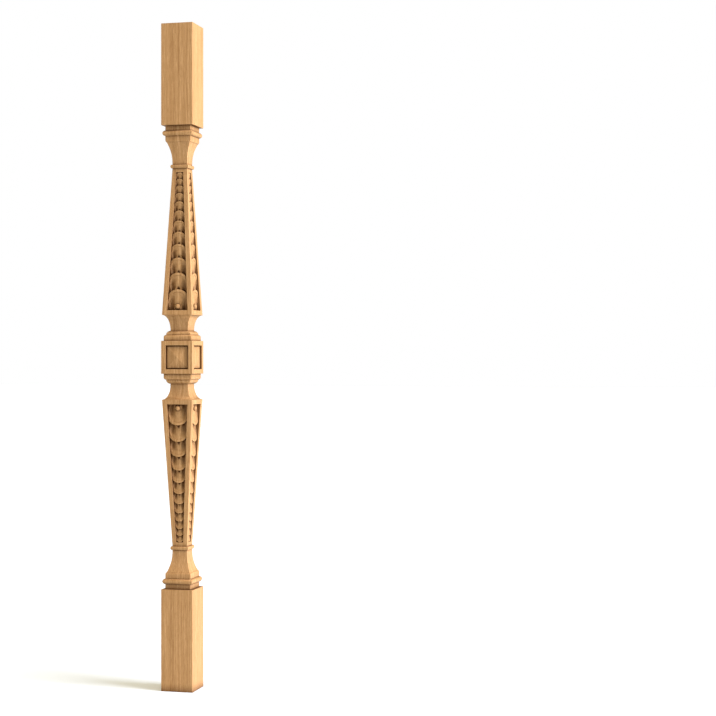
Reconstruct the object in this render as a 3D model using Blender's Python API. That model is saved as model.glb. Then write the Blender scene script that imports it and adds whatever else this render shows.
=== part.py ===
"""Square oak newel post with a pyramid block at its middle and carved coins on both tapered shafts.

Metres, +Z up. The origin is the centre of the underside. The post is one piece of wood: its four
sides are alike, and its lower half mirrors its upper half about the middle of the centre block.
Heights in the profile are measured up from that middle.
"""
import math

import bmesh
import bpy
from mathutils import Matrix, Vector

MM = 0.001

# Overall sizes
POST_HEIGHT = 1212 * MM
MIDDLE_HEIGHT = POST_HEIGHT / 2
BLOCK_HALF = 30 * MM
END_BLOCK_LENGTH = 184.8 * MM

# Mouldings beside the centre block
LOWER_MOULDING_HALF = 26.4 * MM
LOWER_MOULDING_FLAT_TOP = 37.3 * MM
LOWER_MOULDING_TOP = 41 * MM
UPPER_MOULDING_HALF = 22.9 * MM
UPPER_MOULDING_FLAT_TOP = 42.5 * MM
UPPER_MOULDING_TOP = 48.4 * MM
ROUND_FLATNESS = 1.25
NECK_HALF = 16.85 * MM
COVE_BASE = 49.6 * MM

# Tapered shaft
SHAFT_BASE = 76.8 * MM
SHAFT_BASE_HALF = 28.85 * MM
SHAFT_TOP = 344 * MM
SHAFT_TOP_HALF = 14.05 * MM

# Collar, ogee and bead below the end block
COLLAR_TOP = 350.9 * MM
COLLAR_HALF = 17 * MM
COLLAR_FLATNESS = 0.55
HIGH_NECK_HALF = 14.2 * MM
OGEE_BASE = 355 * MM
OGEE_SWEEP_RADIUS = 84 * MM
OGEE_SWEEP_TOP = 391 * MM
OGEE_TOP = 395 * MM
FILLET_HALF = 24.1 * MM
BEAD_BASE = 402 * MM
BEAD_TOP = 412.2 * MM
BEAD_HALF = 28.4 * MM
BEAD_FLATNESS = 1.15

# Pyramid panel in each side of the centre block
PANEL_OPENING_HALF = 21.6 * MM
PANEL_GROOVE_DEPTH = 5.8 * MM
PYRAMID_HALF = 19.75 * MM
PYRAMID_EDGE_DEPTH = 3.4 * MM
PYRAMID_TIP_DEPTH = 0.3 * MM

# Opening of a carved panel in each side of a shaft
OPENING_BASE = 85.5 * MM
OPENING_BASE_HALF = 19.8 * MM
OPENING_TOP = 336.8 * MM
OPENING_TOP_HALF = 6.6 * MM

# Carved coins, sized at the largest one; each next coin has the same shape, made smaller
COIN_COUNT = 12
COIN_RADIUS = 22.5 * MM
FIRST_RIM_HEIGHT = 123.4 * MM
LAST_RIM_HEIGHT = 336.2 * MM
RIM_SPACING_RATIO = 0.906
COIN_DEPTH_POWER = 0.75
COIN_TIP_DEPTH = 0.4 * MM
COIN_SLOPE = 0.155
COIN_CROWN = 1.9 * MM
FIELD_RADIUS = 18.2 * MM
FIELD_ROOT_LENGTH = 21.2 * MM
FIELD_EDGE_STEP = 0.7 * MM
FIELD_EDGE_FADE = 8 * MM
VALLEY_SHARE = 0.77
VALLEY_DEPTH = 4.2 * MM
VALLEY_RUN = 19 * MM
BOSS_SHOULDER_SHARE = 0.28
BOSS_CROWN = 0.42
LOBE_RISE = 3.9 * MM
LOBE_CENTRE = 6.2 * MM
LOBE_HALF = 3.4 * MM
LOBE_START = -5.5 * MM
LOBE_RUN = 8 * MM
CLEFT_TIP = -2.2 * MM
CLEFT_FLARE = 0.54
CLEFT_HALF_LIMIT = 4 * MM
CLEFT_DEPTH = 3.2 * MM
CLEFT_RUN = 7 * MM

# Pearl on the root of the largest coin
PEARL_RADIUS = 5.4 * MM
PEARL_HEIGHT = 92.4 * MM
PEARL_TIP_DEPTH = 0.2 * MM

# Faceting
ROUND_STEPS = 4
COVE_STEPS = 9
COLUMN_SHARES = (-1, -0.86, -0.61, -0.29, 0, 0.29, 0.61, 0.86, 1)
FIRST_COIN_ROWS = (0, 0.2, 0.39, 0.58, 0.85, 1)
LARGE_COIN_ROWS = (0, 0.25, 0.5, 0.8, 1)
SMALL_COIN_ROWS = (0, 0.35, 0.8, 1)
LARGE_COIN_COUNT = 4
END_ROWS = (0, 1)
PEARL_SUBDIVISIONS = 2
WELD_DISTANCE = 0.001 * MM

# Oak
OAK_COLOUR = (0.43, 0.238, 0.096, 1)
OAK_ROUGHNESS = 0.55

# The opening's sides meet at a point above the shaft, and the coins shrink towards it
OPENING_TAPER = (OPENING_BASE_HALF - OPENING_TOP_HALF) / (OPENING_TOP - OPENING_BASE)
VANISHING_HEIGHT = OPENING_BASE + OPENING_BASE_HALF / OPENING_TAPER
FIRST_RIM_DISTANCE = VANISHING_HEIGHT - FIRST_RIM_HEIGHT
LAST_RIM_DISTANCE = VANISHING_HEIGHT - LAST_RIM_HEIGHT
FIRST_CENTRE_DISTANCE = FIRST_RIM_DISTANCE + COIN_RADIUS
SHAFT_TAPER = (SHAFT_BASE_HALF - SHAFT_TOP_HALF) / (SHAFT_TOP - SHAFT_BASE)
SHAFT_LEAN = math.atan(SHAFT_TAPER)


def clear_scene():
    for old in list(bpy.data.objects):
        bpy.data.objects.remove(old, do_unlink=True)


def oak():
    material = bpy.data.materials.new("oak")
    material.use_nodes = True
    shader = material.node_tree.nodes["Principled BSDF"]
    shader.inputs["Base Color"].default_value = OAK_COLOUR
    shader.inputs["Roughness"].default_value = OAK_ROUGHNESS
    shader.inputs["Metallic"].default_value = 0
    return material


def smooth_step(value):
    value = min(max(value, 0), 1)
    return value * value * (3 - 2 * value)


# Profile of half widths and heights

def quarter_round(wide, narrow, base, top):
    """Convex quarter round, a little flatter than an ellipse, that starts upright at its wide end."""
    turns = [math.pi / 2 * step / ROUND_STEPS for step in range(ROUND_STEPS + 1)]
    reaches = [(math.cos(turn) ** ROUND_FLATNESS, math.sin(turn) ** ROUND_FLATNESS) for turn in turns]
    return [(narrow + (wide - narrow) * out, base + (top - base) * up) for out, up in reaches]


def cove(narrow, wide, base, top):
    """Concave quarter ellipse that starts upright at its narrow end."""
    turns = [math.pi / 2 * step / COVE_STEPS for step in range(COVE_STEPS + 1)]
    return [(wide - (wide - narrow) * math.cos(turn), base + (top - base) * math.sin(turn)) for turn in turns]


def half_round(flat, wide, base, top, flatness):
    """Bead that stands out of a flat; a flatness over 1 points it and one under 1 squares it."""
    steps = 2 * ROUND_STEPS
    middle = (base + top) / 2
    turns = [math.pi * step / steps for step in range(steps + 1)]
    reaches = [(math.sin(turn) ** flatness, math.cos(turn)) for turn in turns]
    return [(flat + (wide - flat) * out, middle - (top - base) / 2 * up) for out, up in reaches]


def ogee():
    """Long hollow sweep that ends in a small round shoulder."""
    points = []
    for step in range(COVE_STEPS + 1):
        rise = (OGEE_SWEEP_TOP - OGEE_BASE) * step / COVE_STEPS
        spread = OGEE_SWEEP_RADIUS - math.sqrt(OGEE_SWEEP_RADIUS ** 2 - rise ** 2)
        points.append((HIGH_NECK_HALF + spread, OGEE_BASE + rise))
    sweep_half = points[-1][0]
    for step in range(1, ROUND_STEPS + 1):
        turn = math.pi / 2 * step / ROUND_STEPS
        half = sweep_half + (FILLET_HALF - sweep_half) * math.sin(turn)
        points.append((half, OGEE_TOP - (OGEE_TOP - OGEE_SWEEP_TOP) * math.cos(turn)))
    return points


def moulding_profile():
    """From the centre block's end face up to the lip of the shaft."""
    profile = [(BLOCK_HALF, BLOCK_HALF), (LOWER_MOULDING_HALF, BLOCK_HALF)]
    profile += quarter_round(LOWER_MOULDING_HALF, UPPER_MOULDING_HALF,
                             LOWER_MOULDING_FLAT_TOP, LOWER_MOULDING_TOP)
    profile += quarter_round(UPPER_MOULDING_HALF, NECK_HALF, UPPER_MOULDING_FLAT_TOP, UPPER_MOULDING_TOP)
    profile += cove(NECK_HALF, SHAFT_BASE_HALF, COVE_BASE, SHAFT_BASE)
    return profile


def head_profile():
    """From the top of the shaft up to the end of the post."""
    end_block_base = MIDDLE_HEIGHT - END_BLOCK_LENGTH
    profile = half_round(SHAFT_TOP_HALF, COLLAR_HALF, SHAFT_TOP, COLLAR_TOP, COLLAR_FLATNESS)
    profile += ogee()
    profile += half_round(FILLET_HALF, BEAD_HALF, BEAD_BASE, BEAD_TOP, BEAD_FLATNESS)
    profile += [(FILLET_HALF, end_block_base), (BLOCK_HALF, end_block_base), (BLOCK_HALF, MIDDLE_HEIGHT)]
    return profile


# Points on the post

def side_point(side, half, across, outward, height):
    """A point given on the front side of the upper half, turned to any side of either half."""
    point = Vector((across, -outward, height * half))
    return Matrix.Rotation(side * math.pi / 2, 3, "Z") @ point + Vector((0, 0, MIDDLE_HEIGHT))


def shaft_point(side, half, across, height, depth):
    """A point sunk square into the leaning face of the shaft."""
    face = SHAFT_BASE_HALF - SHAFT_TAPER * (height - SHAFT_BASE)
    outward = face - depth * math.cos(SHAFT_LEAN)
    return side_point(side, half, across, outward, height - depth * math.sin(SHAFT_LEAN))


# Shape of a coin

def coin_depth(across, ahead):
    """Depth below the face at a point of the largest coin; ahead runs from its centre to its free rim."""
    plane = COIN_TIP_DEPTH + COIN_SLOPE * (COIN_RADIUS - ahead)
    plate = plane + COIN_CROWN * (across / COIN_RADIUS) ** 2
    if ahead > 0:
        share = math.hypot(across, ahead) / FIELD_RADIUS
    else:
        share = abs(across) / (FIELD_RADIUS * math.sqrt(1 - (ahead / FIELD_ROOT_LENGTH) ** 2))
    if share >= 1:
        return plate
    valley = plane + VALLEY_DEPTH * smooth_step((FIELD_RADIUS - ahead) / VALLEY_RUN)
    if share > VALLEY_SHARE:
        edge = plate + FIELD_EDGE_STEP * smooth_step(ahead / FIELD_EDGE_FADE)
        up_slope = (share - VALLEY_SHARE) / (1 - VALLEY_SHARE)
        return edge + (max(valley, edge) - edge) * (1 - up_slope ** 2)
    inner = share / VALLEY_SHARE
    fall = smooth_step((inner - BOSS_SHOULDER_SHARE) / (1 - BOSS_SHOULDER_SHARE))
    fall = BOSS_CROWN * inner ** 2 + (1 - BOSS_CROWN) * fall
    return plane + (valley - plane) * fall + cleft_depth(across, ahead) - lobe_rise(across, ahead)


def lobe_rise(across, ahead):
    """Height of the two lobes that swell beside the notch at the coin's root."""
    crest = max(0, 1 - ((abs(across) - LOBE_CENTRE) / LOBE_HALF) ** 2)
    return LOBE_RISE * crest * smooth_step((LOBE_START - ahead) / LOBE_RUN)


def cleft_depth(across, ahead):
    """Extra depth of the pointed notch that opens towards the coin's root."""
    run = CLEFT_TIP - ahead
    if run <= 0:
        return 0
    half = min(CLEFT_FLARE * run, CLEFT_HALF_LIMIT)
    return CLEFT_DEPTH * smooth_step(run / CLEFT_RUN) * max(0, 1 - abs(across) / half)


def rim_distance(share):
    """Distance from the vanishing height to the largest coin's rim, along one column of the grid."""
    spread = 1 + (share * OPENING_TAPER) ** 2
    reach = FIRST_CENTRE_DISTANCE
    root = reach ** 2 - spread * (reach ** 2 - COIN_RADIUS ** 2)
    return (reach - math.sqrt(root)) / spread


def coin_point(share, distance, scale):
    """Across, height and depth of a grid point that lies on the coin of the given scale."""
    across = share * OPENING_TAPER * distance
    ahead = FIRST_CENTRE_DISTANCE * scale - distance
    depth = scale ** COIN_DEPTH_POWER * coin_depth(across / scale, ahead / scale)
    return across, VANISHING_HEIGHT - distance, depth


def coin_scale(index):
    """Scale of a coin, which fits the opening's width at its rim; the rims draw closer by one ratio."""
    travelled = (1 - RIM_SPACING_RATIO ** index) / (1 - RIM_SPACING_RATIO ** (COIN_COUNT - 1))
    return 1 - (1 - LAST_RIM_DISTANCE / FIRST_RIM_DISTANCE) * travelled


def coin_rows(index):
    if index == 0:
        return FIRST_COIN_ROWS
    if index == COIN_COUNT:
        return END_ROWS
    return LARGE_COIN_ROWS if index < LARGE_COIN_COUNT else SMALL_COIN_ROWS


def carved_rows():
    """Grid rows of the carved floor, from the opening's wide end to its narrow end."""
    rows = []
    starts = [VANISHING_HEIGHT - OPENING_BASE] * len(COLUMN_SHARES)
    for index in range(COIN_COUNT + 1):
        scale = coin_scale(index)
        if index < COIN_COUNT:
            ends = [rim_distance(share) * scale for share in COLUMN_SHARES]
        else:
            ends = [VANISHING_HEIGHT - OPENING_TOP] * len(COLUMN_SHARES)
        for part in coin_rows(index):
            distances = [start + (end - start) * part for start, end in zip(starts, ends)]
            rows.append([coin_point(*place, scale) for place in zip(COLUMN_SHARES, distances)])
        starts = ends
    return rows


# Skin of the post

def add_face(bm, points):
    bm.faces.new([bm.verts.new(point) for point in points])


def add_profile(bm, profile, half):
    """Square bands around the post between each two points of the profile."""
    for (low_half, low), (high_half, high) in zip(profile, profile[1:]):
        for side in range(4):
            corners = ((-low_half, low_half, low), (low_half, low_half, low),
                       (high_half, high_half, high), (-high_half, high_half, high))
            add_face(bm, [side_point(side, half, *corner) for corner in corners])


def add_frame(bm, outer, inner):
    """Flat border of four quads between two four-cornered loops."""
    for index in range(4):
        following = (index + 1) % 4
        add_face(bm, (outer[index], outer[following], inner[following], inner[index]))


def add_pyramid_panel(bm, side):
    """A grooved square frame with a low pyramid in one side of the centre block."""
    levels = ((BLOCK_HALF, 0), (PANEL_OPENING_HALF, 0), (PANEL_OPENING_HALF, PANEL_GROOVE_DEPTH),
              (PYRAMID_HALF, PANEL_GROOVE_DEPTH), (PYRAMID_HALF, PYRAMID_EDGE_DEPTH))
    loops = []
    for reach, depth in levels:
        corners = ((-reach, -reach), (reach, -reach), (reach, reach), (-reach, reach))
        loops.append([side_point(side, 1, across, BLOCK_HALF - depth, height) for across, height in corners])
    for outer, inner in zip(loops, loops[1:]):
        add_frame(bm, outer, inner)
    tip = side_point(side, 1, 0, BLOCK_HALF - PYRAMID_TIP_DEPTH, 0)
    base = loops[-1]
    for index in range(4):
        add_face(bm, (base[index], base[(index + 1) % 4], tip))


def add_carved_side(bm, side, half, rows):
    """One side of a shaft: its flat border, the walls of its opening and the carved floor."""
    def put(across, height, depth):
        return shaft_point(side, half, across, height, depth)

    outer = [put(-SHAFT_BASE_HALF, SHAFT_BASE, 0), put(SHAFT_BASE_HALF, SHAFT_BASE, 0),
             put(SHAFT_TOP_HALF, SHAFT_TOP, 0), put(-SHAFT_TOP_HALF, SHAFT_TOP, 0)]
    inner = [put(-OPENING_BASE_HALF, OPENING_BASE, 0), put(OPENING_BASE_HALF, OPENING_BASE, 0),
             put(OPENING_TOP_HALF, OPENING_TOP, 0), put(-OPENING_TOP_HALF, OPENING_TOP, 0)]
    add_frame(bm, outer, inner)

    floor = [[put(*point) for point in row] for row in rows]
    add_face(bm, [inner[0], inner[1]] + floor[0][::-1])
    add_face(bm, [inner[1], inner[2]] + [row[-1] for row in reversed(floor)])
    add_face(bm, [inner[2], inner[3]] + floor[-1])
    add_face(bm, [inner[3], inner[0]] + [row[0] for row in floor])
    for near, far in zip(floor, floor[1:]):
        for column in range(len(near) - 1):
            add_face(bm, (near[column], near[column + 1], far[column + 1], far[column]))


def add_end(bm, half):
    corners = ((-1, -1), (1, -1), (1, 1), (-1, 1))
    height = MIDDLE_HEIGHT + half * MIDDLE_HEIGHT
    add_face(bm, [Vector((x * BLOCK_HALF, y * BLOCK_HALF, height)) for x, y in corners])


def post_mesh():
    bm = bmesh.new()
    rows = carved_rows()
    for side in range(4):
        add_pyramid_panel(bm, side)
    for half in (1, -1):
        add_profile(bm, moulding_profile(), half)
        add_profile(bm, head_profile(), half)
        add_end(bm, half)
        for side in range(4):
            add_carved_side(bm, side, half, rows)
    bmesh.ops.remove_doubles(bm, verts=bm.verts, dist=WELD_DISTANCE)
    bmesh.ops.recalc_face_normals(bm, faces=bm.faces)
    mesh = bpy.data.meshes.new("newel_post")
    bm.to_mesh(mesh)
    bm.free()
    return mesh


def pearl_mesh():
    """One ball for each carved panel."""
    bm = bmesh.new()
    for half in (1, -1):
        for side in range(4):
            centre = shaft_point(side, half, 0, PEARL_HEIGHT, PEARL_TIP_DEPTH + PEARL_RADIUS)
            bmesh.ops.create_icosphere(
                bm, subdivisions=PEARL_SUBDIVISIONS, radius=PEARL_RADIUS, matrix=Matrix.Translation(centre))
    mesh = bpy.data.meshes.new("pearls")
    bm.to_mesh(mesh)
    bm.free()
    return mesh


def build():
    clear_scene()
    post = bpy.data.objects.new("newel_post", post_mesh())
    post.data.materials.append(oak())
    bpy.context.scene.collection.objects.link(post)

    pearls = bpy.data.objects.new("pearls", pearl_mesh())
    pearls.hide_render = True
    pearls.display_type = "WIRE"
    bpy.context.scene.collection.objects.link(pearls)

    union = post.modifiers.new("pearls", "BOOLEAN")
    union.operation = "UNION"
    union.solver = "EXACT"
    union.object = pearls


build()
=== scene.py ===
"""Looks of the carved oak newel post: its fine surface, its wood, the floor, the lights and the camera.

Metres, +Z up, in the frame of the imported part. Heights in the profile are measured up from the
middle of the centre block, and the lower half of the post mirrors the upper half.
"""
import math

import bmesh
import bpy
import numpy as np
from mathutils import Matrix, Vector


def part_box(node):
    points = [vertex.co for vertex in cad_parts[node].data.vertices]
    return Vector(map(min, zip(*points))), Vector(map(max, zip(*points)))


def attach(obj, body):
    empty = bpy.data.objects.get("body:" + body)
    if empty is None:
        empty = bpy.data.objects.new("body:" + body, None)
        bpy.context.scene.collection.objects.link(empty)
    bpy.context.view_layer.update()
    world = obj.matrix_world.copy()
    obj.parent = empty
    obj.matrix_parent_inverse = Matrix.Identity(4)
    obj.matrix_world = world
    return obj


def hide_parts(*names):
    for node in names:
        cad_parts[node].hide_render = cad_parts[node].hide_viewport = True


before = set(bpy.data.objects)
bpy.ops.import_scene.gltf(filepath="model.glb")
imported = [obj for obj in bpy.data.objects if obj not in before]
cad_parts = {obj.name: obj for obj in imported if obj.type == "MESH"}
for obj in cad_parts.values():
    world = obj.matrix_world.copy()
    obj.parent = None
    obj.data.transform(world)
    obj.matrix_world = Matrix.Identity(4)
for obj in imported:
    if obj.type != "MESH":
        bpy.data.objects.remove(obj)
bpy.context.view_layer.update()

MM = 0.001

# Overall sizes, from the frame
POST_LOW, POST_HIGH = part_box("newel_post")
POST_HEIGHT = POST_HIGH[2] - POST_LOW[2]
MIDDLE_HEIGHT = POST_HEIGHT / 2
BLOCK_HALF = (POST_HIGH[0] - POST_LOW[0]) / 2
END_BLOCK_LENGTH = 184.8 * MM

# Mouldings beside the centre block
LOWER_MOULDING_HALF = 26.4 * MM
LOWER_MOULDING_FLAT_TOP = 37.3 * MM
LOWER_MOULDING_TOP = 41.0 * MM
UPPER_MOULDING_HALF = 22.9 * MM
UPPER_MOULDING_FLAT_TOP = 42.5 * MM
UPPER_MOULDING_TOP = 48.4 * MM
ROUND_FLATNESS = 1.25
NECK_HALF = 16.85 * MM
COVE_BASE = 49.6 * MM

# Tapered shaft
SHAFT_BASE = 76.8 * MM
SHAFT_BASE_HALF = 28.85 * MM
SHAFT_TOP = 344 * MM
SHAFT_TOP_HALF = 14.05 * MM

# Collar, ogee and bead below the end block
COLLAR_TOP = 350.9 * MM
COLLAR_HALF = 17 * MM
COLLAR_FLATNESS = 0.55
HIGH_NECK_HALF = 14.2 * MM
OGEE_BASE = 355 * MM
OGEE_SWEEP_RADIUS = 84 * MM
OGEE_SWEEP_TOP = 391 * MM
OGEE_TOP = 395 * MM
FILLET_HALF = 24.1 * MM
BEAD_BASE = 402 * MM
BEAD_TOP = 412.2 * MM
BEAD_HALF = 28.4 * MM
BEAD_FLATNESS = 1.15

# Pyramid panel in each side of the centre block
PANEL_OPENING_HALF = 21.6 * MM
PANEL_GROOVE_DEPTH = 5.8 * MM
PYRAMID_HALF = 19.75 * MM
PYRAMID_EDGE_DEPTH = 3.4 * MM
PYRAMID_TIP_DEPTH = 0.3 * MM

# Opening of a carved panel in each side of a shaft
OPENING_BASE = 85.5 * MM
OPENING_BASE_HALF = 19.8 * MM
OPENING_TOP = 336.8 * MM
OPENING_TOP_HALF = 6.6 * MM

# Carved coins, sized at the largest one; each next coin has the same shape, made smaller
COIN_COUNT = 12
COIN_RADIUS = 22.5 * MM
FIRST_RIM_HEIGHT = 123.4 * MM
LAST_RIM_HEIGHT = 336.2 * MM
RIM_SPACING_RATIO = 0.906
COIN_DEPTH_POWER = 0.75
COIN_TIP_DEPTH = 0.4 * MM
COIN_SLOPE = 0.155
COIN_CROWN = 1.9 * MM
FIELD_RADIUS = 18.2 * MM
FIELD_ROOT_LENGTH = 21.2 * MM
FIELD_EDGE_STEP = 0.7 * MM
FIELD_EDGE_FADE = 8 * MM
FIELD_EDGE_RUN = 0.03
VALLEY_SHARE = 0.77
VALLEY_DEPTH = 4.2 * MM
VALLEY_RUN = 19 * MM
BOSS_SHOULDER_SHARE = 0.28
BOSS_CROWN = 0.42
LOBE_RISE = 3.9 * MM
LOBE_CENTRE = 6.2 * MM
LOBE_HALF = 3.4 * MM
LOBE_START = -5.5 * MM
LOBE_RUN = 8 * MM
CLEFT_TIP = -2.2 * MM
CLEFT_FLARE = 0.54
CLEFT_HALF_LIMIT = 4 * MM
CLEFT_DEPTH = 3.2 * MM
CLEFT_RUN = 7 * MM

# Pearl in its pit on the root of the largest coin
PEARL_RADIUS = 5.4 * MM
PEARL_HEIGHT = 92.4 * MM
PEARL_TIP_DEPTH = 0.2 * MM
PIT_RADIUS = 5.75 * MM
PIT_FLOOR_RADIUS = 5.5 * MM
PIT_DEPTH = 6.3 * MM
PATCH_HALF = 7.4 * MM
PATCH_TOP = 7.2 * MM

# Fineness of the surface
EASE = 0.4 * MM
RIM_EASE = 0.3 * MM
SHARP_TURN = math.radians(35)
ROUND_STEPS = 8
COVE_STEPS = 20
COLUMN_COUNT = 36
FIRST_FIELD_ROWS = 28
FIELD_ROWS = 17
FIELD_ROWS_LOST = 0.7
BAND_ROWS = 4
END_ROWS = 2
PATCH_RINGS = 3
PEARL_RINGS = 8
WELD_DISTANCE = 0.0005 * MM

# Oak colours, linear
OAK_MIDDLE = (0.430, 0.238, 0.096, 1)
OAK_LIGHT = (0.620, 0.378, 0.172, 1)
OAK_DARK = (0.285, 0.143, 0.050, 1)
OAK_LINE = (0.150, 0.066, 0.019, 1)
OAK_PORE = (0.120, 0.052, 0.016, 1)
# Colour of the painted shade that darkens the carving's hollows
OAK_PAINTED_SHADE = (0.075, 0.024, 0.005, 1)
OAK_ROUGHNESS = 0.52
OAK_SPECULAR = 0.08
ROUGHNESS_SPAN = 0.2

# A face takes the grain of the right and left sides when it looks this much more sideways than forwards
SIDE_BIAS = 1.05

# Oak grain, in millimetres across the rings, through the wood and along the fibres
SIDE_SHIFT = 173.0
RING_CURVE = 260.0
RING_WIDTH = 2.2
RING_UNEVEN_SIZE = 9.0
SWAY_SIZES = (24.0, 24.0, 210.0)
SWAY_REACH = 9.0
RIPPLE_SIZES = (3.5, 3.5, 22.0)
RIPPLE_REACH = 1.3
LINE_BREAK_SIZES = (1.2, 5.0, 15.0)
FIBRE_SIZES = (0.45, 0.45, 9.0)
BAND_SIZES = (4.0, 14.0, 150.0)
STREAK_SIZES = (1.1, 3.5, 40.0)
PORE_SIZES = (0.8, 0.8, 5.0)

# Parts of a growth ring, in ring widths
RING_UNEVEN_REACH = 2.4
RING_LINE_WIDTH = 0.26
RING_LINE_START = 0.92
EARLY_WOOD_START = 0.1
EARLY_WOOD_END = 0.55

# Fineness of the noise
NOISE_DETAIL = 2.0
NOISE_ROUGHNESS = 0.5
FIBRE_DETAIL = 3.0
FIBRE_ROUGHNESS = 0.6

# Where the marks of the grain start and are full, how faint they get, and how strongly they colour it
LINE_BREAK_START = 0.3
LINE_BREAK_END = 0.65
LINE_FAINTEST = 0.15
STREAK_START = 0.56
STREAK_FULL = 0.7
PORE_EDGE = 0.24
PORE_CORE = 0.12
PORE_FAINTEST = 0.25
RING_TONE = 0.5
FIBRE_TONE = 1.1
BAND_TONE = 1.0
TONE_SPAN = 0.7
STREAK_SHARE = 0.6
LINE_SHARE = 0.85
PORE_SHARE = 0.65

# Grooves of the grain
PORE_DEPTH = 0.07 * MM
LINE_DEPTH_SHARE = 0.5
FIBRE_HEIGHT = 0.03 * MM

# Painted shade in the carving, wide and close, darkening the colour where ambient occlusion finds hollows:
# its reach, the openness where it starts and where it is full, and its share there
PAINTED_SHADE_SAMPLES = 6
WIDE_PAINTED_SHADE = (16 * MM, 1.0, 0.4, 0.84)
PAINTED_CONTACT_SHADE = (3.2 * MM, 0.85, 0.4, 0.95)

# Floor, light and camera
FLOOR_HALF = 30
FLOOR_COLOUR = (0.84, 0.92, 1.0, 1)
SURROUND_LIGHT = 0.18
SURROUND_COLOUR = (1.0, 0.9, 0.7, 1)
BACKDROP_LIGHT = 1.0
WHITE = (1, 1, 1, 1)
KEY_STRENGTH = 7.3
KEY_COLOUR = (0.98, 0.985, 1.12)
KEY_SPREAD = math.radians(34)
KEY_HEADING = math.radians(10.5)
KEY_ELEVATION = math.radians(16)
FILL_STRENGTH = 2.2
FILL_COLOUR = (1.0, 0.86, 0.62)
FILL_SPREAD = math.radians(50)
FILL_HEADING = math.radians(115)
FILL_ELEVATION = math.radians(80)
SENSOR_WIDTH = 36
LENS = 82.5
CAMERA_TURN = math.radians(20)
CAMERA_YAW = math.radians(6.11)
CAMERA_DISTANCE = 3.017
CAMERA_HEIGHT = 0.6047

# The opening's sides meet at a point above the shaft, and the coins shrink towards it
OPENING_TAPER = (OPENING_BASE_HALF - OPENING_TOP_HALF) / (OPENING_TOP - OPENING_BASE)
VANISHING_HEIGHT = OPENING_BASE + OPENING_BASE_HALF / OPENING_TAPER
FIRST_RIM_DISTANCE = VANISHING_HEIGHT - FIRST_RIM_HEIGHT
LAST_RIM_DISTANCE = VANISHING_HEIGHT - LAST_RIM_HEIGHT
FIRST_CENTRE_DISTANCE = FIRST_RIM_DISTANCE + COIN_RADIUS
SHAFT_TAPER = (SHAFT_BASE_HALF - SHAFT_TOP_HALF) / (SHAFT_TOP - SHAFT_BASE)
SHAFT_LEAN = math.atan(SHAFT_TAPER)


def smooth_step(value):
    value = np.clip(value, 0, 1)
    return value * value * (3 - 2 * value)


# Profile of half widths and heights

def quarter_round(wide, narrow, base, top):
    """Convex quarter round, a little flatter than an ellipse, that starts upright at its wide end."""
    turns = [math.pi / 2 * step / ROUND_STEPS for step in range(ROUND_STEPS + 1)]
    outs = [max(math.cos(turn), 0) ** ROUND_FLATNESS for turn in turns]
    ups = [math.sin(turn) ** ROUND_FLATNESS for turn in turns]
    return [(narrow + (wide - narrow) * out, base + (top - base) * up) for out, up in zip(outs, ups)]


def cove(narrow, wide, base, top):
    """Concave quarter ellipse that starts upright at its narrow end."""
    width = wide - narrow
    height = top - base
    turns = [math.pi / 2 * step / COVE_STEPS for step in range(COVE_STEPS + 1)]
    return [(wide - width * math.cos(turn), base + height * math.sin(turn)) for turn in turns]


def half_round(flat, wide, base, top, flatness):
    """Bead that stands out of a flat; a flatness over 1 points it and one under 1 squares it."""
    steps = 2 * ROUND_STEPS
    middle = (base + top) / 2
    turns = [math.pi * step / steps for step in range(steps + 1)]
    reaches = [(max(math.sin(turn), 0) ** flatness, math.cos(turn)) for turn in turns]
    return [(flat + (wide - flat) * out, middle - (top - base) / 2 * up) for out, up in reaches]


def ogee():
    """Long hollow sweep that ends in a small round shoulder."""
    points = []
    for step in range(COVE_STEPS + 1):
        rise = (OGEE_SWEEP_TOP - OGEE_BASE) * step / COVE_STEPS
        spread = OGEE_SWEEP_RADIUS - math.sqrt(OGEE_SWEEP_RADIUS ** 2 - rise ** 2)
        points.append((HIGH_NECK_HALF + spread, OGEE_BASE + rise))
    sweep_half = points[-1][0]
    for step in range(1, ROUND_STEPS + 1):
        turn = math.pi / 2 * step / ROUND_STEPS
        half = sweep_half + (FILLET_HALF - sweep_half) * math.sin(turn)
        points.append((half, OGEE_TOP - (OGEE_TOP - OGEE_SWEEP_TOP) * math.cos(turn)))
    return points


def eased(profile):
    """The profile with each outward arris cut to a narrow flat."""
    points = [profile[0]]
    for before, here, after in zip(profile, profile[1:], profile[2:]):
        arriving = Vector(here) - Vector(before)
        leaving = Vector(after) - Vector(here)
        turn = math.atan2(arriving.cross(leaving), arriving.dot(leaving))
        room = min(arriving.length, leaving.length) / 2
        if turn < SHARP_TURN or room < EASE / 4:
            points.append(here)
            continue
        cut = min(EASE, room)
        points.append(tuple(Vector(here) - arriving.normalized() * cut))
        points.append(tuple(Vector(here) + leaving.normalized() * cut))
    points.append(profile[-1])
    return points


def moulding_profile():
    """From the edge of the centre block's side up to the lip of the shaft."""
    profile = [(BLOCK_HALF, BLOCK_HALF - EASE), (BLOCK_HALF - EASE, BLOCK_HALF),
               (LOWER_MOULDING_HALF, BLOCK_HALF)]
    profile += quarter_round(LOWER_MOULDING_HALF, UPPER_MOULDING_HALF,
                             LOWER_MOULDING_FLAT_TOP, LOWER_MOULDING_TOP)
    profile += quarter_round(UPPER_MOULDING_HALF, NECK_HALF, UPPER_MOULDING_FLAT_TOP, UPPER_MOULDING_TOP)
    profile += cove(NECK_HALF, SHAFT_BASE_HALF - EASE, COVE_BASE, SHAFT_BASE)
    profile.append((SHAFT_BASE_HALF - SHAFT_TAPER * EASE, SHAFT_BASE + EASE))
    return profile


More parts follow.
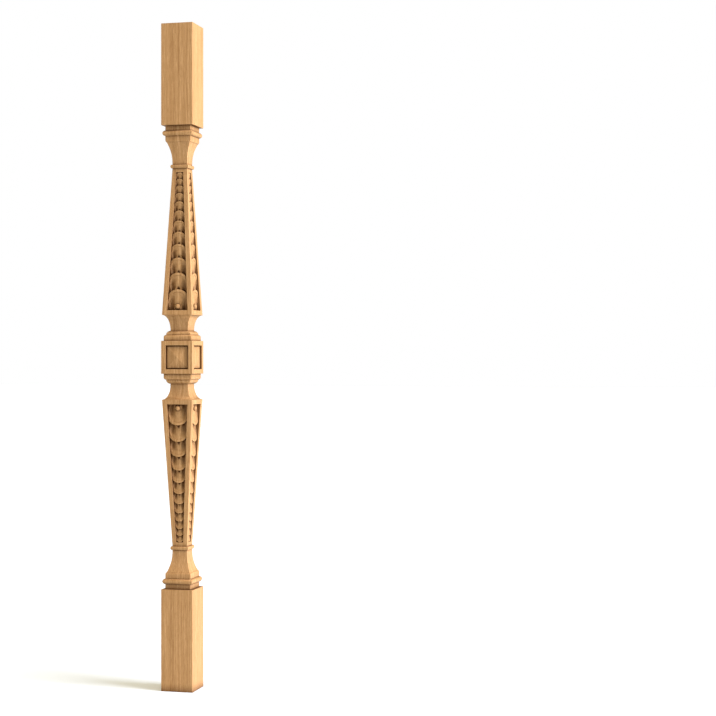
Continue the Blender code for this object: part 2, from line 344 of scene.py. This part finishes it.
def head_profile():
    """From the top of the shaft up to the end of the post."""
    end_block_base = MIDDLE_HEIGHT - END_BLOCK_LENGTH
    profile = half_round(SHAFT_TOP_HALF, COLLAR_HALF, SHAFT_TOP, COLLAR_TOP, COLLAR_FLATNESS)
    profile += ogee()
    profile += half_round(FILLET_HALF, BEAD_HALF, BEAD_BASE, BEAD_TOP, BEAD_FLATNESS)
    profile += [(FILLET_HALF, end_block_base), (BLOCK_HALF, end_block_base), (BLOCK_HALF, MIDDLE_HEIGHT)]
    profile.append((BLOCK_HALF - EASE, MIDDLE_HEIGHT))
    return eased(profile)


# Shape of a coin

def cleft_depth(across, ahead):
    """Extra depth of the pointed notch that opens towards the coin's root."""
    run = CLEFT_TIP - ahead
    half = np.clip(CLEFT_FLARE * run, WELD_DISTANCE, CLEFT_HALF_LIMIT)
    return CLEFT_DEPTH * smooth_step(run / CLEFT_RUN) * smooth_step(1 - np.abs(across) / half)


def lobe_rise(across, ahead):
    """Height of the two lobes that swell beside the notch at the coin's root."""
    crest = np.clip(1 - ((np.abs(across) - LOBE_CENTRE) / LOBE_HALF) ** 2, 0, 1)
    return LOBE_RISE * crest * smooth_step((LOBE_START - ahead) / LOBE_RUN)


def coin_depth(across, ahead):
    """Depth below the face at points of the largest coin; ahead runs from its centre to its free rim."""
    plane = COIN_TIP_DEPTH + COIN_SLOPE * (COIN_RADIUS - ahead)
    plate = plane + COIN_CROWN * (across / COIN_RADIUS) ** 2
    legs = np.sqrt(1 - (np.minimum(ahead, 0) / FIELD_ROOT_LENGTH) ** 2)
    share = np.hypot(across / legs, np.maximum(ahead, 0)) / FIELD_RADIUS
    valley = plane + VALLEY_DEPTH * smooth_step((FIELD_RADIUS - ahead) / VALLEY_RUN)

    step = FIELD_EDGE_STEP * smooth_step(ahead / FIELD_EDGE_FADE)
    edge = plate + step * np.clip((1 - share) / FIELD_EDGE_RUN, 0, 1)
    up_slope = np.clip((share - VALLEY_SHARE) / (1 - VALLEY_SHARE), 0, 1)
    slope = edge + (np.maximum(valley, edge) - edge) * (1 - up_slope ** 2)

    inner = np.clip(share / VALLEY_SHARE, 0, 1)
    fall = smooth_step((inner - BOSS_SHOULDER_SHARE) / (1 - BOSS_SHOULDER_SHARE))
    fall = BOSS_CROWN * inner ** 2 + (1 - BOSS_CROWN) * fall
    crown = plane + (valley - plane) * fall + cleft_depth(across, ahead) - lobe_rise(across, ahead)
    return np.where(share > VALLEY_SHARE, slope, crown)


def coin_scale(index):
    """Scale of a coin, which fits the opening's width at its rim; the rims draw closer by one ratio."""
    travelled = (1 - RIM_SPACING_RATIO ** index) / (1 - RIM_SPACING_RATIO ** (COIN_COUNT - 1))
    return 1 - (1 - LAST_RIM_DISTANCE / FIRST_RIM_DISTANCE) * travelled


def arc_distance(share, radius):
    """Distance along the columns from the vanishing height to an arc round the largest coin's centre."""
    spread = 1 + (share * OPENING_TAPER) ** 2
    reach = FIRST_CENTRE_DISTANCE
    root = reach ** 2 - spread * (reach ** 2 - radius ** 2)
    return (reach - np.sqrt(np.maximum(root, 0))) / spread


def coin_row(shares, distances, scale):
    """Across, height and depth of a row of points on the coin of the given scale."""
    across = shares * OPENING_TAPER * distances
    ahead = FIRST_CENTRE_DISTANCE * scale - distances
    depth = scale ** COIN_DEPTH_POWER * coin_depth(across / scale, ahead / scale)
    return np.stack([across, VANISHING_HEIGHT - distances, depth], axis=1)


def carved_rows():
    """Grid rows of the carved floor, from the opening's wide end to its narrow end."""
    shares = np.linspace(-1, 1, COLUMN_COUNT + 1)
    rows = []
    starts = np.full(len(shares), VANISHING_HEIGHT - OPENING_BASE)
    for index in range(COIN_COUNT):
        scale = coin_scale(index)
        rim = arc_distance(shares, COIN_RADIUS) * scale
        edge = arc_distance(shares, FIELD_RADIUS) * scale
        step_foot = edge + FIELD_EDGE_RUN * FIELD_RADIUS * scale
        eased_rim = rim + RIM_EASE * scale
        field_rows = FIRST_FIELD_ROWS if index == 0 else round(FIELD_ROWS - FIELD_ROWS_LOST * index)
        for part in np.linspace(0, 1, field_rows + 1):
            rows.append(coin_row(shares, starts + (step_foot - starts) * part, scale))
        for part in np.linspace(0, 1, BAND_ROWS + 1):
            rows.append(coin_row(shares, edge + (eased_rim - edge) * part, scale))
        rows.append(coin_row(shares, rim, scale))
        rows[-1][:, 2] += RIM_EASE * scale
        starts = rim
    ends = np.full(len(shares), VANISHING_HEIGHT - OPENING_TOP)
    for part in np.linspace(0, 1, END_ROWS + 1):
        rows.append(coin_row(shares, starts + (ends - starts) * part, coin_scale(COIN_COUNT)))
    return np.array(rows)


# Surface gathered as points and faces

class Skin:
    """Points and faces of the surface; points that meet are welded when the mesh is made."""

    def __init__(self):
        self.points = []
        self.faces = []
        self.crisp_points = []

    def add_points(self, points):
        start = len(self.points)
        self.points.extend(points)
        return list(range(start, len(self.points)))

    def add_face(self, points):
        self.faces.append(self.add_points(points))

    def add_grid(self, grid, hole=None):
        """Quads between the rows; the hole is a span of rows and a span of columns left open."""
        rows = [self.add_points(row) for row in grid]
        for index, (near, far) in enumerate(zip(rows, rows[1:])):
            for column in range(len(near) - 1):
                if hole and index in hole[0] and column in hole[1]:
                    continue
                self.faces.append([near[column], near[column + 1], far[column + 1], far[column]])

    def add_ring_band(self, near, far):
        """Quads between two closed loops of points."""
        near_ids = self.add_points(near)
        far_ids = self.add_points(far)
        count = len(near_ids)
        for index in range(count):
            following = (index + 1) % count
            self.faces.append([near_ids[index], near_ids[following], far_ids[following], far_ids[index]])


def side_points(side, half, points):
    """Points given as across, outward and height on the front of the upper half, turned to any side."""
    points = np.asarray(points, dtype=float)
    turned = np.stack([points[:, 0], -points[:, 1], points[:, 2] * half], axis=1)
    turn = np.array(Matrix.Rotation(side * math.pi / 2, 3, "Z"))
    turned = turned @ turn.T
    turned[:, 2] += POST_LOW[2] + MIDDLE_HEIGHT
    return turned


def shaft_points(side, half, points):
    """Points given as across, height and depth, sunk square into the leaning face of the shaft."""
    points = np.asarray(points, dtype=float)
    face = SHAFT_BASE_HALF - SHAFT_TAPER * (points[:, 1] - SHAFT_BASE)
    outward = face - points[:, 2] * math.cos(SHAFT_LEAN)
    height = points[:, 1] - points[:, 2] * math.sin(SHAFT_LEAN)
    return side_points(side, half, np.stack([points[:, 0], outward, height], axis=1))


def square_ring(half_width, height, half):
    """Closed loop round the post with its four arrises cut to narrow flats."""
    ring = []
    for side in range(4):
        ends = [(-half_width + EASE, half_width, height), (half_width - EASE, half_width, height)]
        ring.extend(side_points(side, half, ends))
    return ring


def add_corner_flats(skin, low, high):
    """The narrow flats on the four upright arrises between two square rings."""
    for corner in range(4):
        first = 2 * corner + 1
        second = (first + 1) % len(low)
        skin.add_face([low[first], low[second], high[second], high[first]])


def add_profile(skin, profile, half):
    """Bands round the post between each two points of the profile."""
    rings = [square_ring(half_width, height, half) for half_width, height in profile]
    for near, far in zip(rings, rings[1:]):
        skin.add_ring_band(near, far)


def square_loop(reach, depth):
    """Across, outward and height of a square's corners, sunk into the front of the centre block."""
    corners = ((-reach, -reach), (reach, -reach), (reach, reach), (-reach, reach))
    return [(across, BLOCK_HALF - depth, height) for across, height in corners]


def add_pyramid_panel(skin, side):
    """A grooved square frame with a low pyramid in one side of the centre block."""
    levels = ((BLOCK_HALF - EASE, 0), (PANEL_OPENING_HALF + EASE / 2, 0), (PANEL_OPENING_HALF, EASE / 2),
              (PANEL_OPENING_HALF, PANEL_GROOVE_DEPTH), (PYRAMID_HALF, PANEL_GROOVE_DEPTH),
              (PYRAMID_HALF, PYRAMID_EDGE_DEPTH + EASE / 2), (PYRAMID_HALF - EASE / 2, PYRAMID_EDGE_DEPTH))
    loops = [side_points(side, 1, square_loop(reach, depth)) for reach, depth in levels]
    for outer, inner in zip(loops, loops[1:]):
        skin.add_ring_band(outer, inner)
    tip = side_points(side, 1, [(0, BLOCK_HALF - PYRAMID_TIP_DEPTH, 0)])[0]
    skin.crisp_points.append(tip)
    base = loops[-1]
    for index in range(4):
        skin.add_face([base[index], base[(index + 1) % 4], tip])


def add_block_arrises(skin):
    """The narrow flats on the four upright arrises of the centre block."""
    low, high = (square_ring(BLOCK_HALF, height, 1) for height in (EASE - BLOCK_HALF, BLOCK_HALF - EASE))
    add_corner_flats(skin, low, high)


def opening_loop(spread, depth):
    """Across, height and depth of the opening's four corners, moved outwards by the spread."""
    return [(-OPENING_BASE_HALF - spread, OPENING_BASE - spread, depth),
            (OPENING_BASE_HALF + spread, OPENING_BASE - spread, depth),
            (OPENING_TOP_HALF + spread, OPENING_TOP + spread, depth),
            (-OPENING_TOP_HALF - spread, OPENING_TOP + spread, depth)]


def hole_spans(rows):
    """Rows and columns of the grid that make way for the pearl and its pit."""
    middle = COLUMN_COUNT // 2
    reach = math.ceil(PATCH_HALF / (2 * OPENING_BASE_HALF / COLUMN_COUNT))
    columns = range(middle - reach, middle + reach)
    heights = rows[:FIRST_FIELD_ROWS, middle, 1]
    last_row = int(np.argmax(heights > PEARL_HEIGHT + PATCH_TOP))
    return range(0, last_row), columns


def hole_border(rows, hole):
    """Closed loop of grid points round the hole."""
    last_row = hole[0].stop
    left = hole[1].start
    right = hole[1].stop
    border = [rows[0][column] for column in range(left, right)]
    border += [rows[row][right] for row in range(0, last_row)]
    border += [rows[last_row][column] for column in range(right, left, -1)]
    border += [rows[row][left] for row in range(last_row, 0, -1)]
    return np.array(border)


def pearl_loops(border):
    """Loops from the border of the hole over the pit's edge and floor and up the pearl."""
    centre = np.array([0, PEARL_HEIGHT])
    turns = np.arctan2(border[:, 1] - centre[1], border[:, 0] - centre[0])
    directions = np.stack([np.cos(turns), np.sin(turns)], axis=1)
    edge = centre + PIT_RADIUS * directions
    loops = [border]
    for ring in range(1, PATCH_RINGS + 1):
        flat = border[:, :2] + (edge - border[:, :2]) * ring / PATCH_RINGS
        depth = coin_depth(flat[:, 0], flat[:, 1] - (VANISHING_HEIGHT - FIRST_CENTRE_DISTANCE))
        loops.append(np.column_stack([flat, depth]))
    floor_depth = np.maximum(loops[-1][:, 2], PIT_DEPTH)
    pearl_depth = PEARL_TIP_DEPTH + PEARL_RADIUS
    lowest = np.arccos(np.clip((pearl_depth - floor_depth) / PEARL_RADIUS, -1, 1))
    loops.append(np.column_stack([centre + PIT_FLOOR_RADIUS * directions, floor_depth]))
    for ring in range(PEARL_RINGS):
        turn = lowest * (1 - ring / PEARL_RINGS)
        flat = centre + PEARL_RADIUS * np.sin(turn)[:, None] * directions
        loops.append(np.column_stack([flat, pearl_depth - PEARL_RADIUS * np.cos(turn)]))
    return loops


def add_pearl(skin, side, half, loops):
    """The pearl and its pit, which fill the hole in one panel's carved floor."""
    placed = [shaft_points(side, half, loop) for loop in loops]
    for near, far in zip(placed, placed[1:]):
        skin.add_ring_band(near, far)
    tip = shaft_points(side, half, [(0, PEARL_HEIGHT, PEARL_TIP_DEPTH)])[0]
    last = placed[-1]
    for index in range(len(last)):
        skin.add_face([last[index], last[(index + 1) % len(last)], tip])


def add_carved_side(skin, side, half, rows, hole, loops):
    """One side of a shaft: its flat border, the walls of its opening and the carved floor."""
    def put(points):
        return shaft_points(side, half, points)

    base_half = SHAFT_BASE_HALF - SHAFT_TAPER * EASE - EASE
    outer = put([(-base_half, SHAFT_BASE + EASE, 0), (base_half, SHAFT_BASE + EASE, 0),
                 (SHAFT_TOP_HALF - EASE, SHAFT_TOP, 0), (EASE - SHAFT_TOP_HALF, SHAFT_TOP, 0)])
    mouth = put(opening_loop(EASE / 2, 0))
    inner = put(opening_loop(0, EASE / 2))
    skin.add_ring_band(outer, mouth)
    skin.add_ring_band(mouth, inner)

    floor = [put(row) for row in rows]
    skin.add_face([inner[0], inner[1]] + list(floor[0][::-1]))
    skin.add_face([inner[1], inner[2]] + [row[-1] for row in reversed(floor)])
    skin.add_face([inner[2], inner[3]] + list(floor[-1]))
    skin.add_face([inner[3], inner[0]] + [row[0] for row in floor])
    skin.add_grid(floor, hole)
    add_pearl(skin, side, half, loops)


def add_shaft_arrises(skin, half):
    """The narrow flats on the four arrises of a shaft."""
    low = square_ring(SHAFT_BASE_HALF - SHAFT_TAPER * EASE, SHAFT_BASE + EASE, half)
    high = square_ring(SHAFT_TOP_HALF, SHAFT_TOP, half)
    add_corner_flats(skin, low, high)


def post_skin():
    skin = Skin()
    rows = carved_rows()
    hole = hole_spans(rows)
    loops = pearl_loops(hole_border(rows, hole))
    add_block_arrises(skin)
    for side in range(4):
        add_pyramid_panel(skin, side)
    for half in (1, -1):
        add_profile(skin, moulding_profile(), half)
        add_profile(skin, head_profile(), half)
        skin.add_face(square_ring(BLOCK_HALF - EASE, MIDDLE_HEIGHT, half))
        add_shaft_arrises(skin, half)
        for side in range(4):
            add_carved_side(skin, side, half, rows, hole, loops)
    return skin


def keep_crisp(mesh, points):
    """Marks the edges that meet at the given points as sharp, such as a pyramid's low ridges."""
    places = np.array([vertex.co for vertex in mesh.vertices])
    tips = {int(np.argmin(np.linalg.norm(places - point, axis=1))) for point in points}
    for edge in mesh.edges:
        if tips.intersection(edge.vertices):
            edge.use_edge_sharp = True


def make_post():
    skin = post_skin()
    mesh = bpy.data.meshes.new("newel_post_oak")
    mesh.from_pydata([tuple(point) for point in skin.points], [], skin.faces)
    bm = bmesh.new()
    bm.from_mesh(mesh)
    bmesh.ops.remove_doubles(bm, verts=bm.verts, dist=WELD_DISTANCE)
    bmesh.ops.recalc_face_normals(bm, faces=bm.faces)
    bm.to_mesh(mesh)
    bm.free()
    mesh.shade_smooth()
    mesh.set_sharp_from_angle(angle=SHARP_TURN)
    keep_crisp(mesh, skin.crisp_points)
    mesh.materials.append(oak())
    post = bpy.data.objects.new("newel_post_oak", mesh)
    bpy.context.scene.collection.objects.link(post)
    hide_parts("newel_post")
    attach(post, "root")


# Shader nodes

class Tree:
    """Adds nodes and links them; an input is a number, a tuple or another node's output.

    Inputs are given by name, or by number where several share a name or their order is plain.
    """

    def __init__(self, owner):
        owner.use_nodes = True
        self.nodes = owner.node_tree.nodes
        self.links = owner.node_tree.links

    def feed(self, socket, value):
        if isinstance(value, bpy.types.NodeSocket):
            self.links.new(value, socket)
        else:
            socket.default_value = value

    def add(self, kind, inputs, output=0, **settings):
        node = self.nodes.new(kind)
        for name, value in settings.items():
            setattr(node, name, value)
        for key, value in inputs.items():
            self.feed(node.inputs[key], value)
        return node.outputs[output]

    def math(self, operation, *values):
        return self.add("ShaderNodeMath", dict(enumerate(values)), operation=operation)

    def swing(self, value, reach):
        """A value from 0 to 1, moved to swing about 0 and scaled by the reach."""
        return self.math("MULTIPLY", self.math("SUBTRACT", value, 0.5), reach)

    def pick(self, factor, first, second):
        """The first value where the factor is 0 and the second where it is 1."""
        return self.add("ShaderNodeMix", {0: factor, 2: first, 3: second}, data_type="FLOAT")

    def blend(self, factor, first, second):
        """A colour between the first and the second."""
        return self.add("ShaderNodeMix", {0: factor, 6: first, 7: second}, output=2, data_type="RGBA")

    def ramp(self, value, start, end, low=0.0, high=1.0):
        """Smooth step from low, at the start value, to high, at the end value."""
        inputs = {"Value": value, "From Min": start, "From Max": end, "To Min": low, "To Max": high}
        return self.add("ShaderNodeMapRange", inputs, interpolation_type="SMOOTHSTEP")

    def fall(self, value, start, end):
        """Straight line from 0, at the start value, to 1, at the end value."""
        inputs = {"Value": value, "From Min": start, "From Max": end, "To Min": 0.0, "To Max": 1.0}
        return self.add("ShaderNodeMapRange", inputs)

    def stretched(self, across, through, along, sizes):
        """The three coordinates, each divided by its own size."""
        parts = [self.math("DIVIDE", value, size) for value, size in zip((across, through, along), sizes)]
        return self.add("ShaderNodeCombineXYZ", dict(enumerate(parts)))

    def noise(self, vector, detail=NOISE_DETAIL, roughness=NOISE_ROUGHNESS):
        inputs = {"Vector": vector, "Scale": 1.0, "Detail": detail, "Roughness": roughness}
        return self.add("ShaderNodeTexNoise", inputs)

    def line_noise(self, value, size):
        """Noise that varies along one coordinate only."""
        inputs = {"W": self.math("DIVIDE", value, size), "Scale": 1.0, "Detail": NOISE_DETAIL}
        return self.add("ShaderNodeTexNoise", inputs, noise_dimensions="1D")


# Oak

def grain_coordinates(tree):
    """Millimetres across the growth rings, through the wood and along its fibres."""
    place = tree.nodes.new("ShaderNodeTexCoord")
    metres = place.outputs["Object"]
    scaled = tree.add("ShaderNodeVectorMath", {0: metres, "Scale": 1 / MM}, operation="SCALE")
    split = tree.nodes.new("ShaderNodeSeparateXYZ")
    tree.feed(split.inputs[0], scaled)
    facing = tree.nodes.new("ShaderNodeSeparateXYZ")
    tree.feed(facing.inputs[0], place.outputs["Normal"])
    x, y, z = split.outputs
    sideways = tree.math("ABSOLUTE", facing.outputs[0])
    forwards = tree.math("MULTIPLY", tree.math("ABSOLUTE", facing.outputs[1]), SIDE_BIAS)
    on_side = tree.math("GREATER_THAN", sideways, forwards)
    across = tree.pick(on_side, x, tree.math("ADD", y, SIDE_SHIFT))
    through = tree.pick(on_side, y, x)
    return across, through, z


def wandering(tree, across, through, along):
    """The distance across the rings, bent by slow sways, small ripples and the rings' own curve."""
    curve = tree.math("DIVIDE", tree.math("MULTIPLY", through, through), RING_CURVE)
    bent = tree.math("ADD", across, curve)
    for sizes, reach in ((SWAY_SIZES, SWAY_REACH), (RIPPLE_SIZES, RIPPLE_REACH)):
        sway = tree.noise(tree.stretched(across, through, along, sizes))
        bent = tree.math("ADD", bent, tree.swing(sway, reach))
    return bent


def growth_rings(tree, bent, through, along):
    """The place within a ring from 0 to 1, the ring's own tone, and the dark line where rings meet."""
    uneven = tree.math("MULTIPLY", tree.line_noise(bent, RING_UNEVEN_SIZE), RING_UNEVEN_REACH)
    ring = tree.math("ADD", tree.math("DIVIDE", bent, RING_WIDTH), uneven)
    place_in_ring = tree.math("FRACT", ring)
    ring_tone = tree.add("ShaderNodeTexWhiteNoise", {"W": tree.math("FLOOR", ring)}, noise_dimensions="1D")
    late_edge = tree.ramp(place_in_ring, RING_LINE_WIDTH, 0.0)
    early_edge = tree.ramp(place_in_ring, RING_LINE_START, 1.0)
    line = tree.math("MAXIMUM", late_edge, early_edge)
    break_noise = tree.noise(tree.stretched(bent, through, along, LINE_BREAK_SIZES))
    strength = tree.ramp(break_noise, LINE_BREAK_START, LINE_BREAK_END, LINE_FAINTEST, 1.0)
    return place_in_ring, ring_tone, tree.math("MULTIPLY", line, strength)


def open_pores(tree, bent, through, along, place_in_ring):
    """Short slits along the fibres, close together in the early wood of each ring."""
    place = tree.stretched(bent, through, along, PORE_SIZES)
    cell = tree.add("ShaderNodeTexVoronoi", {"Vector": place, "Scale": 1.0}, feature="F1")
    slit = tree.ramp(cell, PORE_EDGE, PORE_CORE)
    early_wood = tree.ramp(place_in_ring, EARLY_WOOD_END, EARLY_WOOD_START, PORE_FAINTEST, 1.0)
    return tree.math("MULTIPLY", slit, early_wood)


def wood_colour(tree, tone, streak, line, pore):
    """The planed wood's colour, from its tone, pale streaks, growth lines and pores."""
    wood = tree.blend(tree.ramp(tone, 0.0, TONE_SPAN), OAK_MIDDLE, OAK_LIGHT)
    wood = tree.blend(tree.ramp(tone, 0.0, -TONE_SPAN), wood, OAK_DARK)
    wood = tree.blend(tree.math("MULTIPLY", streak, STREAK_SHARE), wood, OAK_LIGHT)
    wood = tree.blend(tree.math("MULTIPLY", line, LINE_SHARE), wood, OAK_LINE)
    return tree.blend(tree.math("MULTIPLY", pore, PORE_SHARE), wood, OAK_PORE)


def painted_hollow_shade(tree, wood):
    """The wood's colour with painted shade: darker where the carving closes round a place."""
    # Each ambient occlusion pass paints shade into the colour: a wide one for the hollows, a close one as
    # painted contact shadow
    for reach, start, end, share in (WIDE_PAINTED_SHADE, PAINTED_CONTACT_SHADE):
        openness = tree.add("ShaderNodeAmbientOcclusion", {"Distance": reach},
                            output=1, samples=PAINTED_SHADE_SAMPLES)
        painted_shade = tree.math("MULTIPLY", tree.fall(openness, start, end), share)
        wood = tree.blend(painted_shade, wood, OAK_PAINTED_SHADE)
    return wood


def oak():
    material = bpy.data.materials.new("oak")
    tree = Tree(material)
    shader = tree.nodes["Principled BSDF"]
    across, through, along = grain_coordinates(tree)
    bent = wandering(tree, across, through, along)
    place_in_ring, ring_tone, line = growth_rings(tree, bent, through, along)
    fibre = tree.noise(tree.stretched(bent, through, along, FIBRE_SIZES), FIBRE_DETAIL, FIBRE_ROUGHNESS)
    band = tree.noise(tree.stretched(bent, through, along, BAND_SIZES))
    streak_noise = tree.noise(tree.stretched(bent, through, along, STREAK_SIZES))
    streak = tree.ramp(streak_noise, STREAK_START, STREAK_FULL)
    pore = open_pores(tree, bent, through, along, place_in_ring)

    tone = tree.swing(ring_tone, RING_TONE)
    tone = tree.math("ADD", tone, tree.swing(fibre, FIBRE_TONE))
    tone = tree.math("ADD", tone, tree.swing(band, BAND_TONE))
    wood = wood_colour(tree, tone, streak, line, pore)
    # The base colour carries painted shade in the carving's hollows
    tree.feed(shader.inputs["Base Color"], painted_hollow_shade(tree, wood))

    rough = tree.math("ADD", OAK_ROUGHNESS, tree.swing(fibre, ROUGHNESS_SPAN))
    rough = tree.math("ADD", rough, tree.math("MULTIPLY", pore, ROUGHNESS_SPAN))
    tree.feed(shader.inputs["Roughness"], rough)
    shader.inputs["Specular IOR Level"].default_value = OAK_SPECULAR

    groove = tree.math("ADD", pore, tree.math("MULTIPLY", line, LINE_DEPTH_SHARE))
    height = tree.math("MULTIPLY", groove, -PORE_DEPTH)
    height = tree.math("ADD", height, tree.math("MULTIPLY", fibre, FIBRE_HEIGHT))
    bump = tree.add("ShaderNodeBump", {"Height": height, "Distance": 1.0, "Strength": 1.0})
    tree.feed(shader.inputs["Normal"], bump)
    return material


# Floor, light and camera

def make_floor():
    mesh = bpy.data.meshes.new("floor")
    corners = [(-FLOOR_HALF, -FLOOR_HALF, 0), (FLOOR_HALF, -FLOOR_HALF, 0),
               (FLOOR_HALF, FLOOR_HALF, 0), (-FLOOR_HALF, FLOOR_HALF, 0)]
    mesh.from_pydata(corners, [], [(0, 1, 2, 3)])
    material = bpy.data.materials.new("floor")
    tree = Tree(material)
    shader = tree.nodes["Principled BSDF"]
    shader.inputs["Base Color"].default_value = FLOOR_COLOUR
    shader.inputs["Roughness"].default_value = 1.0
    shader.inputs["Specular IOR Level"].default_value = 0.0
    mesh.materials.append(material)
    floor = bpy.data.objects.new("floor", mesh)
    bpy.context.scene.collection.objects.link(floor)


def make_world():
    """White to the camera all round; it lights the post with less strength and a warmer colour."""
    world = bpy.data.worlds.new("studio")
    bpy.context.scene.world = world
    tree = Tree(world)
    seen = tree.nodes.new("ShaderNodeLightPath").outputs["Is Camera Ray"]
    background = tree.nodes["Background"]
    tree.feed(background.inputs["Color"], tree.blend(seen, SURROUND_COLOUR, WHITE))
    tree.feed(background.inputs["Strength"], tree.pick(seen, SURROUND_LIGHT, BACKDROP_LIGHT))


def make_sun(name, strength, colour, spread, heading, elevation):
    """A soft light from far away; the heading is turned from +X towards -Y."""
    light = bpy.data.lights.new(name, "SUN")
    light.energy = strength
    light.color = colour
    light.angle = spread
    sun = bpy.data.objects.new(name, light)
    bpy.context.scene.collection.objects.link(sun)
    towards = Vector((math.cos(heading) * math.cos(elevation), -math.sin(heading) * math.cos(elevation),
                      math.sin(elevation)))
    sun.rotation_euler = towards.to_track_quat("Z", "Y").to_euler()


def make_camera():
    camera = bpy.data.cameras.new("camera")
    camera.sensor_width = SENSOR_WIDTH
    camera.lens = LENS
    holder = bpy.data.objects.new("camera", camera)
    bpy.context.scene.collection.objects.link(holder)
    holder.location = (CAMERA_DISTANCE * math.sin(CAMERA_TURN), -CAMERA_DISTANCE * math.cos(CAMERA_TURN),
                       CAMERA_HEIGHT)
    holder.rotation_euler = (math.pi / 2, 0, CAMERA_TURN - CAMERA_YAW)
    bpy.context.scene.camera = holder


make_post()
make_floor()
make_world()
make_sun("key", KEY_STRENGTH, KEY_COLOUR, KEY_SPREAD, KEY_HEADING, KEY_ELEVATION)
make_sun("fill", FILL_STRENGTH, FILL_COLOUR, FILL_SPREAD, FILL_HEADING, FILL_ELEVATION)
make_camera()
bpy.context.scene.view_settings.view_transform = "Standard"
